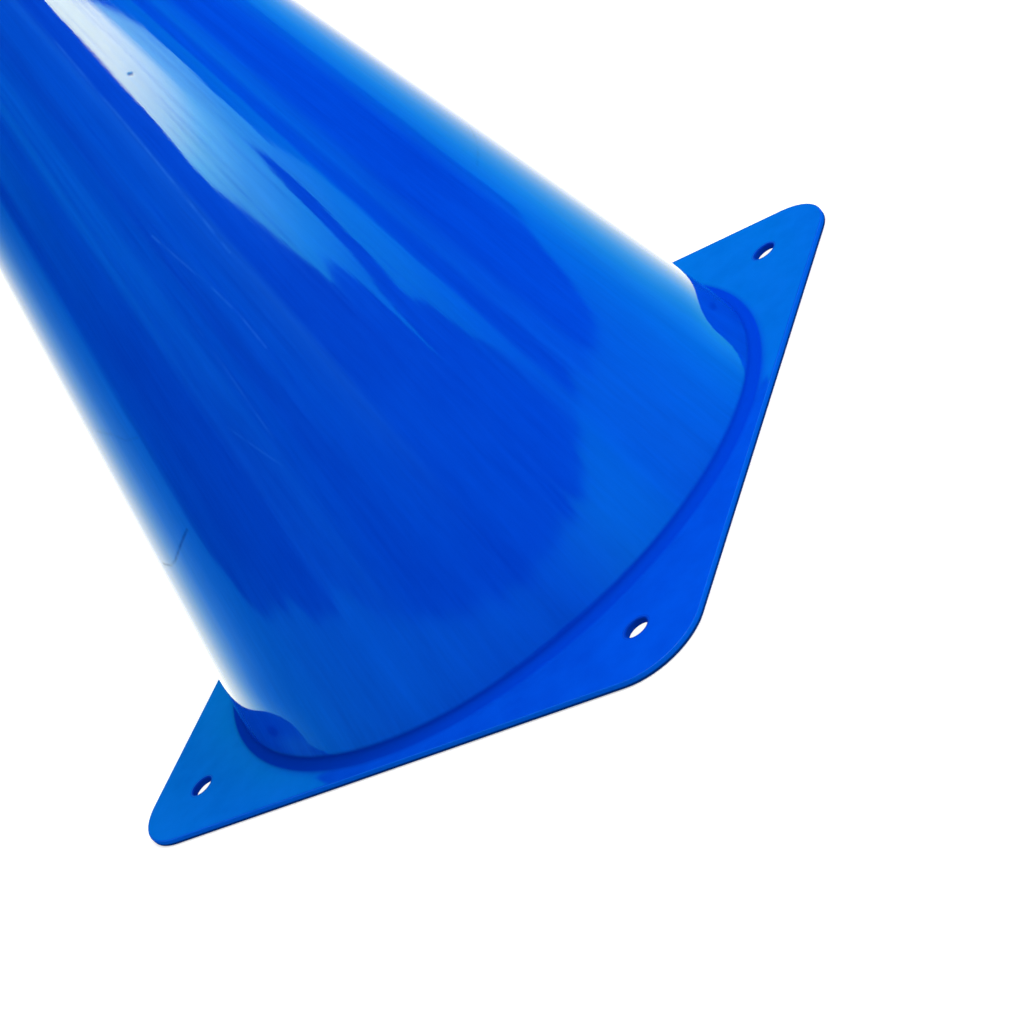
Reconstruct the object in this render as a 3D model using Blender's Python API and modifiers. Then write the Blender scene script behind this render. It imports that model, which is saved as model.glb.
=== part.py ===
"""Small training cone: a thin tapered wall on a square base flange.

The real cone is one moulding. Here its three regions are three closed solids that meet with a
hairline seam: the turned wall with its foot, the flat base flange around the foot, and the
thicker collar around the mouth. Units are metres, +Z is up, and the origin is on the ground
under the cone's axis.
"""

import math

import bmesh
import bpy

# Base flange
BASE_SIDE = 0.140            # side of the square
BASE_THICKNESS = 0.0015
CORNER_RADIUS = 0.013        # outer corners of the square, in plan
EDGE_ROUNDING = 0.0004       # outer edges of the base and rims of the peg holes
PEG_HOLE_DIAMETER = 0.006
PEG_HOLE_LAND = 0.011        # plastic between a peg hole and the two sides next to it
SIDE_STRIP = 0.002           # flat base left between the foot and the middle of each side

# Tapered wall
CONE_HEIGHT = 0.180          # ground to the top of the collar
TOP_DIAMETER = 0.034         # outside of the wall's taper at the height of the top
WALL_THICKNESS = 0.001
FOOT_FILLET = 0.002          # radius between the wall and the top of the base
FOOT_LIP = 0.001             # flat ring between the fillet and the seam with the base

# Collar round the mouth
COLLAR_HEIGHT = 0.008
COLLAR_STEP = 0.001          # how far the collar stands out from the wall
COLLAR_ROUNDING = 0.0004

# Fits
SEAM_GAP = 0.0003            # between the regions of the moulding
CUT_OVERRUN = 0.002          # how far a cutter passes the faces that it cuts

# Roundness
TURN_STEPS = 96
FILLET_STEPS = 5
CORNER_STEPS = 10
PEG_HOLE_STEPS = 32
ROUNDING_SEGMENTS = 2
MERGE_DISTANCE = 0.000001
SHARP_ANGLE = math.radians(40)

# Plastic
BLUE = (0.0, 0.075, 0.66, 1.0)
WALL_ROUGHNESS = 0.16
BASE_ROUGHNESS = 0.2


def clear_scene():
    for old in list(bpy.data.objects):
        bpy.data.objects.remove(old, do_unlink=True)


def new_collection(name):
    collection = bpy.data.collections.new(name)
    bpy.context.scene.collection.children.link(collection)
    return collection


def plastic(name, roughness):
    """Glossy coloured plastic for one region."""
    material = bpy.data.materials.new(name)
    material.use_nodes = True
    shader = material.node_tree.nodes["Principled BSDF"]
    shader.inputs["Base Color"].default_value = BLUE
    shader.inputs["Roughness"].default_value = roughness
    shader.inputs["Metallic"].default_value = 0.0
    return material


def add_part(name, mesh, collection, carrier, height, roughness):
    """Put a mesh in the scene as a named piece, its own origin at the given height on the axis."""
    piece = bpy.data.objects.new(name, mesh)
    collection.objects.link(piece)
    piece.parent = carrier
    piece.location = (0, 0, height)
    piece.data.materials.append(plastic(name + "_plastic", roughness))
    return piece


def arc(centre, radius, start, end, steps):
    """Points of an arc from angle start to angle end, both in degrees and both included."""
    points = []
    for step in range(steps + 1):
        angle = math.radians(start + (end - start) * step / steps)
        points.append((centre[0] + radius * math.cos(angle), centre[1] + radius * math.sin(angle)))
    return points


def turned(name, profile, collection, carrier, height, roughness):
    """Turn a closed (radius, height) profile, outer side first and downwards, round the axis."""
    mesh = bpy.data.meshes.new(name)
    corners = [(radius, 0, level) for radius, level in profile]
    sides = [(index, (index + 1) % len(corners)) for index in range(len(corners))]
    mesh.from_pydata(corners, sides, [])
    piece = add_part(name, mesh, collection, carrier, height, roughness)
    screw = piece.modifiers.new("turn", "SCREW")
    screw.steps = TURN_STEPS
    screw.render_steps = TURN_STEPS
    screw.use_merge_vertices = True
    screw.merge_threshold = MERGE_DISTANCE
    screw.use_smooth_shade = True
    return piece


# The foot ring ends at the seam. The fillet's circle touches the base's top face one lip inside
# the seam, and the wall is the straight line from the top that touches the same circle.
SEAM_RADIUS = BASE_SIDE / 2 - SIDE_STRIP
FILLET_RADIUS_ON_BASE = SEAM_RADIUS - FOOT_LIP
FILLET_CENTRE = (FILLET_RADIUS_ON_BASE, BASE_THICKNESS + FOOT_FILLET)
TOP_RADIUS = TOP_DIAMETER / 2


def wall_slope():
    """Angle between the wall and the axis."""
    across = FILLET_CENTRE[0] - TOP_RADIUS
    down = CONE_HEIGHT - FILLET_CENTRE[1]
    return math.atan2(across, down) - math.asin(FOOT_FILLET / math.hypot(across, down))


SLOPE = wall_slope()


def wall_radius(level, depth):
    """Radius of the tapered wall at a level, at a depth below its outer face."""
    return TOP_RADIUS + (CONE_HEIGHT - level) * math.tan(SLOPE) - depth / math.cos(SLOPE)


def wall_profile():
    """Outline of the wall from the collar's seam, down its outer side, and back up inside."""
    top = CONE_HEIGHT - COLLAR_HEIGHT
    slope = math.degrees(SLOPE)
    outer = [(wall_radius(top, 0), top)]
    outer += arc(FILLET_CENTRE, FOOT_FILLET, 180 + slope, 270, FILLET_STEPS)
    lip = [(SEAM_RADIUS, BASE_THICKNESS), (SEAM_RADIUS, 0)]
    inner_rounding = FOOT_FILLET + WALL_THICKNESS
    reach = inner_rounding * math.tan(math.radians(90 - slope) / 2)
    inner_centre = (wall_radius(0, WALL_THICKNESS) + reach, inner_rounding)
    inner = arc(inner_centre, inner_rounding, 270, 180 + slope, FILLET_STEPS)
    inner.append((wall_radius(top, WALL_THICKNESS), top))
    return outer + lip + inner


def make_cone_wall(collection, carrier):
    return turned("cone_wall", wall_profile(), collection, carrier, 0, WALL_ROUGHNESS)


def make_top_collar(collection, carrier):
    """Thicker ring round the mouth. It stands on the wall's top edge and follows its taper."""
    foot = CONE_HEIGHT - COLLAR_HEIGHT + SEAM_GAP
    rise = CONE_HEIGHT - foot
    profile = [
        (wall_radius(CONE_HEIGHT, -COLLAR_STEP), rise),
        (wall_radius(foot, -COLLAR_STEP), 0),
        (wall_radius(foot, WALL_THICKNESS), 0),
        (wall_radius(CONE_HEIGHT, WALL_THICKNESS), rise),
    ]
    collar = turned("top_collar", profile, collection, carrier, foot, WALL_ROUGHNESS)
    rounding = collar.modifiers.new("rounded_rims", "BEVEL")
    rounding.width = COLLAR_ROUNDING
    rounding.segments = ROUNDING_SEGMENTS
    rounding.limit_method = "ANGLE"
    rounding.angle_limit = SHARP_ANGLE
    return collar


def add_outline(curve, points):
    """Add one closed straight-sided outline to a flat curve."""
    spline = curve.splines.new("POLY")
    spline.points.add(len(points) - 1)
    for point, (x, y) in zip(spline.points, points):
        point.co = (x, y, 0, 1)
    spline.use_cyclic_u = True


def corner_signs():
    """The four corners of the base, in turn around it."""
    return [(1, 1), (-1, 1), (-1, -1), (1, -1)]


def base_outline():
    """Rounded square, counter-clockwise."""
    reach = BASE_SIDE / 2 - CORNER_RADIUS
    points = []
    for turn, (x, y) in enumerate(corner_signs()):
        start = 90 * turn
        points += arc((x * reach, y * reach), CORNER_RADIUS, start, start + 90, CORNER_STEPS)
    return points


def circle(centre, radius, steps):
    return arc(centre, radius, 0, 360, steps)[:-1]


def flat_plate_mesh(name, outlines):
    """Mesh of a flat plate of the base's thickness with rounded edges, centred on its thickness."""
    curve = bpy.data.curves.new(name + "_outline", "CURVE")
    curve.dimensions = "2D"
    curve.fill_mode = "BOTH"
    for points in outlines:
        add_outline(curve, points)
    curve.extrude = BASE_THICKNESS / 2 - EDGE_ROUNDING
    curve.bevel_depth = EDGE_ROUNDING
    curve.bevel_resolution = ROUNDING_SEGMENTS - 1
    curve.offset = -EDGE_ROUNDING
    guide = bpy.data.objects.new(name + "_outline", curve)
    bpy.context.scene.collection.objects.link(guide)
    solid = guide.evaluated_get(bpy.context.evaluated_depsgraph_get())
    mesh = bpy.data.meshes.new_from_object(solid)
    mesh.name = name
    bpy.data.objects.remove(guide, do_unlink=True)
    shape = bmesh.new()
    shape.from_mesh(mesh)
    bmesh.ops.remove_doubles(shape, verts=shape.verts, dist=MERGE_DISTANCE)
    shape.to_mesh(mesh)
    shape.free()
    return mesh


def make_foot_cutter(cutters):
    """Round plug that opens the base flange for the foot of the wall."""
    bpy.ops.mesh.primitive_cylinder_add(
        vertices=TURN_STEPS,
        radius=SEAM_RADIUS + SEAM_GAP,
        depth=BASE_THICKNESS + 2 * CUT_OVERRUN,
        location=(0, 0, BASE_THICKNESS / 2),
    )
    cutter = bpy.context.active_object
    cutter.name = "foot_cutter"
    for home in list(cutter.users_collection):
        home.objects.unlink(cutter)
    cutters.objects.link(cutter)
    cutter.hide_render = True
    cutter.display_type = "WIRE"
    return cutter


def make_base_flange(collection, cutters, carrier):
    """Square plate with a peg hole near each corner and a round opening for the wall's foot."""
    hole_reach = BASE_SIDE / 2 - PEG_HOLE_LAND - PEG_HOLE_DIAMETER / 2
    outlines = [base_outline()]
    for x, y in corner_signs():
        outlines.append(circle((x * hole_reach, y * hole_reach), PEG_HOLE_DIAMETER / 2, PEG_HOLE_STEPS))
    mesh = flat_plate_mesh("base_flange", outlines)
    flange = add_part("base_flange", mesh, collection, carrier, BASE_THICKNESS / 2, BASE_ROUGHNESS)
    opening = flange.modifiers.new("foot_opening", "BOOLEAN")
    opening.operation = "DIFFERENCE"
    opening.object = make_foot_cutter(cutters)
    return flange


def build():
    clear_scene()
    parts = new_collection("training_cone")
    cutters = new_collection("cutters")
    carrier = bpy.data.objects.new("cone_axis_on_ground", None)
    parts.objects.link(carrier)
    make_base_flange(parts, cutters, carrier)
    make_cone_wall(parts, carrier)
    make_top_collar(parts, carrier)


build()
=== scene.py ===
# %% [markdown]
# # A training cone, moulded in one piece from glossy blue plastic
#
# The real cone is a single moulding: a thin tapered wall, a flat square foot with four peg
# holes, and a thicker rim round the mouth. This lesson makes its finished surface as one
# continuous skin, and then the plastic, the room that the gloss mirrors, and the camera.
#
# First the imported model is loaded. It is the fixed frame: its sizes are read here, and the skin
# is later fitted to them, so nothing has to be scaled or moved afterwards.

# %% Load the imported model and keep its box
import math

import bmesh
import bpy
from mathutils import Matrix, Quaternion, Vector


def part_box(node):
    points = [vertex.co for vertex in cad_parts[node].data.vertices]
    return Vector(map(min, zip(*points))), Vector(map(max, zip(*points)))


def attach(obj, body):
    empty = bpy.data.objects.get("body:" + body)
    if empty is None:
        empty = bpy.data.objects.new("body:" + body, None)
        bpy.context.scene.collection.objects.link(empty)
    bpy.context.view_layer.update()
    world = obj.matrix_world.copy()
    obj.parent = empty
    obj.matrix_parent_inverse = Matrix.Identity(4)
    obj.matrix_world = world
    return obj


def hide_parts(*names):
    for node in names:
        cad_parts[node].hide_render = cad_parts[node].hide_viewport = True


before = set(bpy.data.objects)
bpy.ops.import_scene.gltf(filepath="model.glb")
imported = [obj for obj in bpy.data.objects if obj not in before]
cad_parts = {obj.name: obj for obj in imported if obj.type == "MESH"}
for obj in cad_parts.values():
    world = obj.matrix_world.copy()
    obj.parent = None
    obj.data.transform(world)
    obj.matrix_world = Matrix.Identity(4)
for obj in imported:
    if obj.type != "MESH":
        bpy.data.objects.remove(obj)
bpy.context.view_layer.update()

MM = 0.001

# %% [markdown]
# ## Sizes
#
# The outer sizes come from the frame's three nodes, so the skin follows them when they change.
# What a box can't tell, such as the thickness of the wall or the radius of the foot, is named
# here in millimetres. The wall leans at the angle of the straight line from the mouth that
# just touches the rounding at the foot. The finished foot flares out wider than that rounding,
# so the flare has sizes of its own.

# %% Read the outer sizes and name the rest
_, flange_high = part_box("base_flange")
_, wall_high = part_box("cone_wall")
collar_low, collar_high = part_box("top_collar")

HALF_SIDE = flange_high.x
PLATE = flange_high.z
HEIGHT = collar_high.z
COLLAR_FOOT = collar_low.z

TOP_RADIUS = 17 * MM
WALL = 1 * MM
SOLID_FILLET = 2 * MM
SOLID_LIP = 1 * MM
FLARE_UP = 1.3 * MM
FLARE_OUT = 3.5 * MM
FLARE_LIP = 0.1 * MM
COLLAR_STEP = 1 * MM
COLLAR_ROUNDING = 0.4 * MM
CORNER_RADIUS = 13 * MM
EDGE_ROUNDING = 0.3 * MM
HOLE_ROUNDING = 0.3 * MM
FLAT_SUPPORT = 0.2 * MM
PEG_HOLE_RADIUS = 2.3 * MM
PEG_HOLE_INSET = 14 * MM

solid_fillet = (wall_high.x - SOLID_LIP, PLATE + SOLID_FILLET)
lean_across = solid_fillet[0] - TOP_RADIUS
lean_down = HEIGHT - solid_fillet[1]
LEAN = math.atan2(lean_across, lean_down) - math.asin(SOLID_FILLET / math.hypot(lean_across, lean_down))


def wall_radius(level, depth=0.0):
    """Radius of the taper at a level, at a depth below its outer face."""
    return TOP_RADIUS + (HEIGHT - level) * math.tan(LEAN) - depth / math.cos(LEAN)


FLARE_EDGE = wall_radius(PLATE) + FLARE_OUT
FOOT_EDGE = FLARE_EDGE + FLARE_LIP
print("wall leans", round(math.degrees(LEAN), 2), "degrees; radius at the plate",
      round(wall_radius(PLATE) / MM, 2), "mm")

# %% [markdown]
# ## The turned profile
#
# Everything round the axis is one outline in the plane of radius and height: up the outer
# side from the plate, over the collar, and down inside to the underside. A list of corners
# would do for a simple taper, but roundings are arcs, so a small helper makes those. The flare
# at the foot is a soft curve that leaves the plate and joins the wall without a break, so it has
# a helper too. The long straight runs are cut into short steps, because the wall gets slight
# waves further on.

# %% Outline helpers
ARC_STEPS = 8
FLARE_STEPS = 20
WALL_ROWS = 130
INSIDE_ROWS = 40
COLLAR_ROWS = 8
HOLLOW_STEPS = 3
RIM_STEPS = 5


def arc(centre, radius, start, end, steps=ARC_STEPS):
    """Points of an arc between two angles in degrees, both ends included."""
    turn = [math.radians(start + (end - start) * step / steps) for step in range(steps + 1)]
    return [(centre[0] + radius * math.cos(a), centre[1] + radius * math.sin(a)) for a in turn]


def bend(start, corner, end, steps=FLARE_STEPS):
    """Points of a curve that leaves one straight line and joins another, touching both."""
    points = []
    for step in range(steps + 1):
        s = step / steps
        points.append(tuple((1 - s) ** 2 * a + 2 * s * (1 - s) * b + s ** 2 * c
                            for a, b, c in zip(start, corner, end)))
    return points


def run(start, end, steps):
    """Points between two ends, both left out."""
    shares = [step / steps for step in range(1, steps)]
    return [(start[0] + (end[0] - start[0]) * s, start[1] + (end[1] - start[1]) * s) for s in shares]


# %% [markdown]
# The collar stands out from the wall by a millimetre. Its underside meets the wall in a small
# hollow rounding and its two rims are rounded, as they come out of a mould.

# %% The collar's outline and the whole profile
lean_degrees = math.degrees(LEAN)


def outer_profile():
    """From the foot's flat lip up the outside to the top of the mouth."""
    points = [(FOOT_EDGE, PLATE)]
    flare_top = PLATE + FLARE_UP
    points += bend((FLARE_EDGE, PLATE), (wall_radius(PLATE), PLATE), (wall_radius(flare_top), flare_top))
    step_hollow = COLLAR_ROUNDING
    hollow_level = COLLAR_FOOT - step_hollow
    hollow = (wall_radius(hollow_level, -step_hollow), hollow_level)
    points += run(points[-1], (wall_radius(hollow_level), hollow_level), WALL_ROWS)
    points += arc(hollow, step_hollow, 180 + lean_degrees, 90, HOLLOW_STEPS)
    lower_level = COLLAR_FOOT + COLLAR_ROUNDING
    lower = (wall_radius(lower_level, COLLAR_ROUNDING - COLLAR_STEP), lower_level)
    points += arc(lower, COLLAR_ROUNDING, -90, lean_degrees, RIM_STEPS)
    upper_level = HEIGHT - COLLAR_ROUNDING
    upper = (wall_radius(upper_level, COLLAR_ROUNDING - COLLAR_STEP), upper_level)
    rounding = arc(upper, COLLAR_ROUNDING, lean_degrees, 90, RIM_STEPS)
    points += run(points[-1], rounding[0], COLLAR_ROWS) + rounding
    return points


def inner_profile():
    """From the top of the mouth down the inside to the underside of the foot."""
    rim_level = HEIGHT - COLLAR_ROUNDING
    rim = (wall_radius(rim_level, WALL - COLLAR_ROUNDING), rim_level)
    points = arc(rim, COLLAR_ROUNDING, 90, 180 + lean_degrees, RIM_STEPS)
    rounding = SOLID_FILLET + WALL
    reach = rounding * math.tan(math.radians(90 - lean_degrees) / 2)
    centre = (wall_radius(0, WALL) + reach, rounding)
    foot = arc(centre, rounding, 180 + lean_degrees, 270)
    points += run(points[-1], foot[0], INSIDE_ROWS) + foot
    points.append((FOOT_EDGE, 0))
    return points


profile = outer_profile() + inner_profile()
print("profile points:", len(profile))

# %% [markdown]
# ## Turning the profile with Geometry Nodes
#
# The wall follows a rule: each level is a circle. So a node tree computes it. A grid has one
# row for each profile point and one column for each step of the turn; every grid point looks
# up its profile point and is turned round the axis. The last column falls on the first, and
# Merge by Distance closes the seam.
#
# A real wall of this kind is never a perfect taper. It cools unevenly, so it has long shallow
# waves of a few hundredths of a millimetre. They can't be seen as shape, but they bend the
# mirrored lights, which is most of what makes thin plastic look like plastic. The same tree
# adds them, with named inputs for their depth and a fixed seed.

# %% Small helpers for building node trees
def link(tree, source, target):
    tree.links.new(source, target)


def math_node(tree, operation, first, second=None):
    """One Math node; each value is a number or a socket. Returns its result socket."""
    node = tree.nodes.new("ShaderNodeMath")
    node.operation = operation
    for socket, value in zip(node.inputs, (first, second)):
        if value is None:
            continue
        if isinstance(value, bpy.types.NodeSocket):
            link(tree, value, socket)
        else:
            socket.default_value = value
    return node.outputs[0]


def times(tree, first, second):
    return math_node(tree, "MULTIPLY", first, second)


def minus(tree, first, second):
    return math_node(tree, "SUBTRACT", first, second)


def plus(tree, *values):
    total = values[0]
    for value in values[1:]:
        total = math_node(tree, "ADD", total, value)
    return total


def strongest(tree, *values):
    total = values[0]
    for value in values[1:]:
        total = math_node(tree, "MAXIMUM", total, value)
    return total


def combine(tree, x, y, z):
    node = tree.nodes.new("ShaderNodeCombineXYZ")
    for socket, value in zip(node.inputs, (x, y, z)):
        if isinstance(value, bpy.types.NodeSocket):
            link(tree, value, socket)
        else:
            socket.default_value = value
    return node.outputs[0]


def range_node(tree, value, from_low, from_high, to_low, to_high, smooth=False):
    node = tree.nodes.new("ShaderNodeMapRange")
    if smooth:
        node.interpolation_type = "SMOOTHSTEP"
    link(tree, value, node.inputs["Value"])
    settings = {"From Min": from_low, "From Max": from_high, "To Min": to_low, "To Max": to_high}
    for name, number in settings.items():
        if isinstance(number, bpy.types.NodeSocket):
            link(tree, number, node.inputs[name])
        else:
            node.inputs[name].default_value = number
    return node.outputs[0]


# %% The turning tree
TURN_STEPS = 288
MERGE = 0.002 * MM
WAVE_DEPTH = 0.16 * MM
WAVES_ROUND = 3.2
WAVES_ALONG = 14
WAVE_FADE = 12 * MM
WAVE_SEED = 4.0


def turning_tree(material):
    """A Geometry Nodes group that turns the points of its input mesh round the Z axis."""
    tree = bpy.data.node_groups.new("turned_wall", "GeometryNodeTree")
    face = tree.interface
    face.new_socket("Profile", in_out="INPUT", socket_type="NodeSocketGeometry")
    rows_input = face.new_socket("Profile points", in_out="INPUT", socket_type="NodeSocketInt")
    steps_input = face.new_socket("Steps round", in_out="INPUT", socket_type="NodeSocketInt")
    depth_input = face.new_socket("Wave depth", in_out="INPUT", socket_type="NodeSocketFloat")
    start_input = face.new_socket("Waves start at", in_out="INPUT", socket_type="NodeSocketFloat")
    end_input = face.new_socket("Waves end at", in_out="INPUT", socket_type="NodeSocketFloat")
    seed_input = face.new_socket("Seed", in_out="INPUT", socket_type="NodeSocketFloat")
    face.new_socket("Turned", in_out="OUTPUT", socket_type="NodeSocketGeometry")
    sockets = {item.name: item.identifier for item in (rows_input, steps_input, depth_input,
                                                       start_input, end_input, seed_input)}
    nodes = tree.nodes
    given = nodes.new("NodeGroupInput")

    grid = nodes.new("GeometryNodeMeshGrid")
    columns = plus(tree, given.outputs["Steps round"], 1)
    link(tree, columns, grid.inputs["Vertices X"])
    link(tree, given.outputs["Profile points"], grid.inputs["Vertices Y"])

    index = nodes.new("GeometryNodeInputIndex").outputs[0]
    row = math_node(tree, "FLOORED_MODULO", index, given.outputs["Profile points"])
    column = math_node(tree, "FLOOR", math_node(tree, "DIVIDE", index, given.outputs["Profile points"]))
    turn = math_node(tree, "DIVIDE", column, given.outputs["Steps round"])
    angle = times(tree, turn, 2 * math.pi)

    position = nodes.new("GeometryNodeInputPosition")
    sample = nodes.new("GeometryNodeSampleIndex")
    sample.data_type = "FLOAT_VECTOR"
    link(tree, given.outputs["Profile"], sample.inputs["Geometry"])
    link(tree, position.outputs[0], sample.inputs["Value"])
    link(tree, row, sample.inputs["Index"])
    split = nodes.new("ShaderNodeSeparateXYZ")
    link(tree, sample.outputs[0], split.inputs[0])
    radius, level = split.outputs["X"], split.outputs["Z"]

    cosine = math_node(tree, "COSINE", angle)
    sine = math_node(tree, "SINE", angle)
    noise = nodes.new("ShaderNodeTexNoise")
    noise.noise_dimensions = "4D"
    noise.inputs["Scale"].default_value = 1.0
    noise.inputs["Detail"].default_value = 1.0
    around = WAVES_ROUND / 2
    along = times(tree, level, WAVES_ALONG)
    around_axis = combine(tree, times(tree, cosine, around), times(tree, sine, around), along)
    link(tree, around_axis, noise.inputs["Vector"])
    link(tree, given.outputs["Seed"], noise.inputs["W"])
    swing = minus(tree, noise.outputs[0], 0.5)

    low, high = given.outputs["Waves start at"], given.outputs["Waves end at"]
    fade_in = range_node(tree, level, low, plus(tree, low, WAVE_FADE), 0.0, 1.0, smooth=True)
    fade_out = range_node(tree, level, minus(tree, high, WAVE_FADE), high, 1.0, 0.0, smooth=True)
    strength = times(tree, fade_in, fade_out)
    wave = times(tree, times(tree, swing, strength), given.outputs["Wave depth"])
    waved = plus(tree, radius, wave)

    place = nodes.new("GeometryNodeSetPosition")
    link(tree, grid.outputs["Mesh"], place.inputs["Geometry"])
    turned = combine(tree, times(tree, cosine, waved), times(tree, sine, waved), level)
    link(tree, turned, place.inputs["Position"])
    merge = nodes.new("GeometryNodeMergeByDistance")
    merge.inputs["Distance"].default_value = MERGE
    link(tree, place.outputs[0], merge.inputs["Geometry"])
    real = nodes.new("GeometryNodeRealizeInstances")
    link(tree, merge.outputs[0], real.inputs[0])
    paint = nodes.new("GeometryNodeSetMaterial")
    paint.inputs["Material"].default_value = material
    link(tree, real.outputs[0], paint.inputs["Geometry"])
    result = nodes.new("NodeGroupOutput")
    link(tree, paint.outputs[0], result.inputs[0])
    return tree, sockets


# %% Turn a profile into a mesh
blue_plastic = bpy.data.materials.new("blue_plastic_finish")
blue_plastic.use_nodes = True


def turned_mesh(points):
    """The closed mesh that the tree makes from a list of (radius, height) points."""
    guide_mesh = bpy.data.meshes.new("cone_profile")
    guide_mesh.from_pydata([(radius, 0, level) for radius, level in points], [], [])
    guide = bpy.data.objects.new("cone_profile", guide_mesh)
    bpy.context.scene.collection.objects.link(guide)
    tree, sockets = turning_tree(blue_plastic)
    turn = guide.modifiers.new("turn", "NODES")
    turn.node_group = tree
    values = {
        "Profile points": len(points),
        "Steps round": TURN_STEPS,
        "Wave depth": WAVE_DEPTH,
        "Waves start at": PLATE + FLARE_UP,
        "Waves end at": COLLAR_FOOT - COLLAR_ROUNDING,
        "Seed": WAVE_SEED,
    }
    for name, value in values.items():
        turn[sockets[name]] = value
    solid = guide.evaluated_get(bpy.context.evaluated_depsgraph_get())
    mesh = bpy.data.meshes.new_from_object(solid)
    bpy.data.objects.remove(guide, do_unlink=True)
    return mesh


# %% [markdown]
# Near the foot the thin wall is bent a little out of round, as it is when it has been stepped
# on. Each bend turns the wall's slope at one place and fades out all round it. Inside and
# outside move together, so the wall stays as thick as it was.

# %% Bends near the foot
BENDS = [
    # degrees round the axis, half width, millimetres up, half height, depth
    (-114.5, 8.5, 12.0, 6.5, 0.46),
    (19.5, 8.5, 13.0, 6.5, 0.40),
]
BEND_FADE = 4 * MM


def bend_wall(mesh):
    """Move the wall's points in or out by the bends, which leave the flare and the plate alone."""
    for vertex in mesh.vertices:
        x, y, z = vertex.co
        rise = min(max((z - PLATE - FLARE_UP) / BEND_FADE, 0.0), 1.0)
        if not rise:
            continue
        angle = math.degrees(math.atan2(y, x))
        shift = 0.0
        for middle, half_width, level, half_height, depth in BENDS:
            across = (angle - middle) / half_width
            up = (z / MM - level) / half_height
            shift += depth * MM * up * math.exp(-across * across - up * up)
        grow = 1 + shift * rise / math.hypot(x, y)
        vertex.co = (x * grow, y * grow, z)


# %% Make the wall
round_mesh = turned_mesh(profile)
bend_wall(round_mesh)
print("turned mesh:", len(round_mesh.vertices), "points,", len(round_mesh.polygons), "faces")

# %% [markdown]
# ## The square foot
#
# The plate lies round the turned mesh. Its top and underside are flat, so they only need their
# outlines filled: the rounded square, the four peg holes and the ring where the round part
# ends. Every edge is rounded over by rings of points that step out and down.
#
# A narrow flat ring lies inside each rounding. Smooth shading blends between neighbouring
# points, so without that ring the blend would run right across the plate and its reflections
# would bend where the real plate is flat.

# %% Outlines of the plate
CORNER_STEPS = 14
SIDE_STEPS = 20
HOLE_STEPS = 40
EDGE_STEPS = 4
CORNERS = [(1, 1), (-1, 1), (-1, -1), (1, -1)]
HOLE_REACH = HALF_SIDE - PEG_HOLE_INSET


def square_outline(inset):
    """The rounded square, drawn in by the inset, always with the same number of points."""
    centre_reach = HALF_SIDE - CORNER_RADIUS
    points = []
    for turn, (x, y) in enumerate(CORNERS):
        centre = (x * centre_reach, y * centre_reach)
        corner = arc(centre, CORNER_RADIUS - inset, 90 * turn, 90 * turn + 90, CORNER_STEPS)
        if points:
            points += run(points[-1], corner[0], SIDE_STEPS)
        points += corner
    return points + run(points[-1], points[0], SIDE_STEPS)


def hole_outline(corner, grow):
    """One peg hole, grown by an amount, always with the same number of points."""
    centre = (corner[0] * HOLE_REACH, corner[1] * HOLE_REACH)
    return arc(centre, PEG_HOLE_RADIUS + grow, 0, 360, HOLE_STEPS)[:-1]


# %% Rings from the flat top, round the edge and on to the flat underside
def edge_steps(rounding):
    """(distance in from the edge, height) from the top's flat ring round to the underside's."""
    steps = [(rounding + FLAT_SUPPORT, PLATE)]
    steps += arc((rounding, PLATE - rounding), rounding, 90, 180, EDGE_STEPS)
    steps += arc((rounding, rounding), rounding, 180, 270, EDGE_STEPS)
    steps.append((rounding + FLAT_SUPPORT, 0))
    return steps


def add_ring(shape, points, level):
    return [shape.verts.new((x, y, level)) for x, y in points]


def close_ring(shape, ring):
    """Edges round a ring of points."""
    return [shape.edges.get((a, b)) or shape.edges.new((a, b)) for a, b in zip(ring, ring[1:] + ring[:1])]


def bridge(shape, first, second):
    """Faces between two rings with the same number of points."""
    count = len(first)
    for i in range(count):
        j = (i + 1) % count
        shape.faces.new((first[i], first[j], second[j], second[i]))


def wrap_edge(shape, outline, rounding):
    """All rings of one outline. Returns the flat ring on the top and the one on the underside."""
    rings = [add_ring(shape, outline(inset), level) for inset, level in edge_steps(rounding)]
    for first, second in zip(rings, rings[1:]):
        bridge(shape, first, second)
    return rings[0], rings[-1]


# %% [markdown]
# The fill between the outlines is made of triangles only, which is fine on a flat face. The
# ring in the middle has the same points as the turned mesh's edge, so the two weld into one
# closed skin.

# %% Fill the flats and weld the plate to the turned mesh
def moulding_mesh():
    shape = bmesh.new()
    shape.from_mesh(round_mesh)
    top_rings, under_rings = [], []
    outlines = [(square_outline, EDGE_ROUNDING)]
    for corner in CORNERS:
        outlines.append((lambda inset, corner=corner: hole_outline(corner, inset), HOLE_ROUNDING))
    for outline, rounding in outlines:
        top, under = wrap_edge(shape, outline, rounding)
        top_rings.append(top)
        under_rings.append(under)
    foot_ring = arc((0, 0), FOOT_EDGE, 0, 360, TURN_STEPS)[:-1]
    top_rings.append(add_ring(shape, foot_ring, PLATE))
    under_rings.append(add_ring(shape, foot_ring, 0))
    for rings in (top_rings, under_rings):
        edges = []
        for ring in rings:
            edges += close_ring(shape, ring)
        bmesh.ops.triangle_fill(shape, use_beauty=True, edges=edges)
    bmesh.ops.remove_doubles(shape, verts=shape.verts, dist=MERGE)
    bmesh.ops.recalc_face_normals(shape, faces=shape.faces)
    open_edges = sum(1 for edge in shape.edges if len(edge.link_faces) != 2)
    mesh = bpy.data.meshes.new("cone_moulding")
    shape.to_mesh(mesh)
    shape.free()
    mesh.shade_smooth()
    print("moulding:", len(mesh.polygons), "faces, open or doubled edges:", open_edges)
    return mesh


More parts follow.
